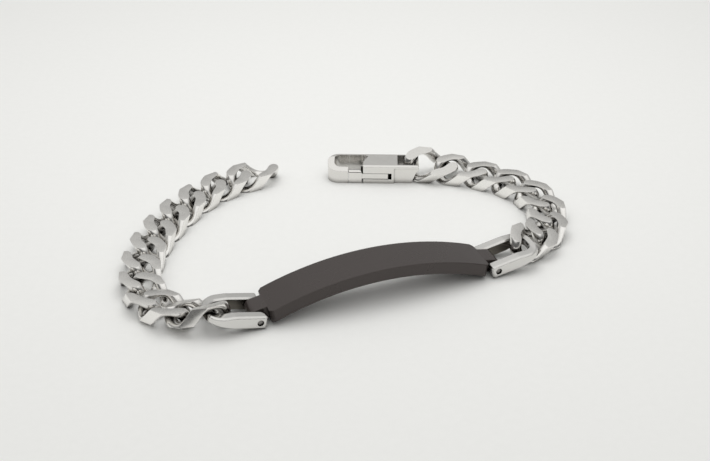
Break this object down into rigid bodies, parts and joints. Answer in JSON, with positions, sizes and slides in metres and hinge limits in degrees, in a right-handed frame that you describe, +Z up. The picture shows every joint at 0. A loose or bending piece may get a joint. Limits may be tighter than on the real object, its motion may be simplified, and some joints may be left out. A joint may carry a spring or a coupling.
{
  "type": "id bracelet",
  "caption": "Open identity bracelet lying flat: arched dark plate, hinged shackles, flattened curb chain and a clasp with a sprung lever.",
  "frame": {"origin": "on the table under the middle of the whole bracelet as it lies open", "axes": "+X to the right along the bracelet's longest extent, +Y away past the clasp, +Z up from the table"},
  "size_m": [0.084, 0.0612, 0.007],
  "materials": {
    "plate_black": "black plated steel, satin, bright along the crisp edges",
    "shackle_steel": "polished with bevelled rims",
    "pin_steel": "turned, slightly dull",
    "chain_steel": "polished flanks, satin ground flats",
    "clasp_steel": "satin polished casting",
    "lever_steel": "satin polished"
  },
  "bodies": {
    "bracelet": {"clasp_body": "clasp_steel", "clasp_pivot": "pin_steel", "id_plate": "plate_black", "link_left_01": "chain_steel", "link_left_02": "chain_steel", "link_left_03": "chain_steel", "link_left_04": "chain_steel", "link_left_05": "chain_steel", "link_left_06": "chain_steel", "link_left_07": "chain_steel", "link_left_08": "chain_steel", "link_left_09": "chain_steel", "link_left_10": "chain_steel", "link_left_11": "chain_steel", "link_right_01": "chain_steel", "link_right_02": "chain_steel", "link_right_03": "chain_steel", "link_right_04": "chain_steel", "link_right_05": "chain_steel", "link_right_06": "chain_steel", "link_right_07": "chain_steel", "link_right_08": "chain_steel", "shackle_left": "shackle_steel", "shackle_pin_left": "pin_steel", "shackle_pin_right": "pin_steel", "shackle_right": "shackle_steel"},
    "lever": {"clasp_lever": "lever_steel"}
  },
  "joints": [
    {"name": "clasp_lever_hinge", "type": "hinge", "parent": "bracelet", "child": "lever", "pos_m": [0.00363, 0.02542, 0.0016], "axis": [0, 0, 1], "range_deg": [0, 15], "stiffness_Nm_per_rad": 0.01, "springref_deg": -5.73}
  ]
}
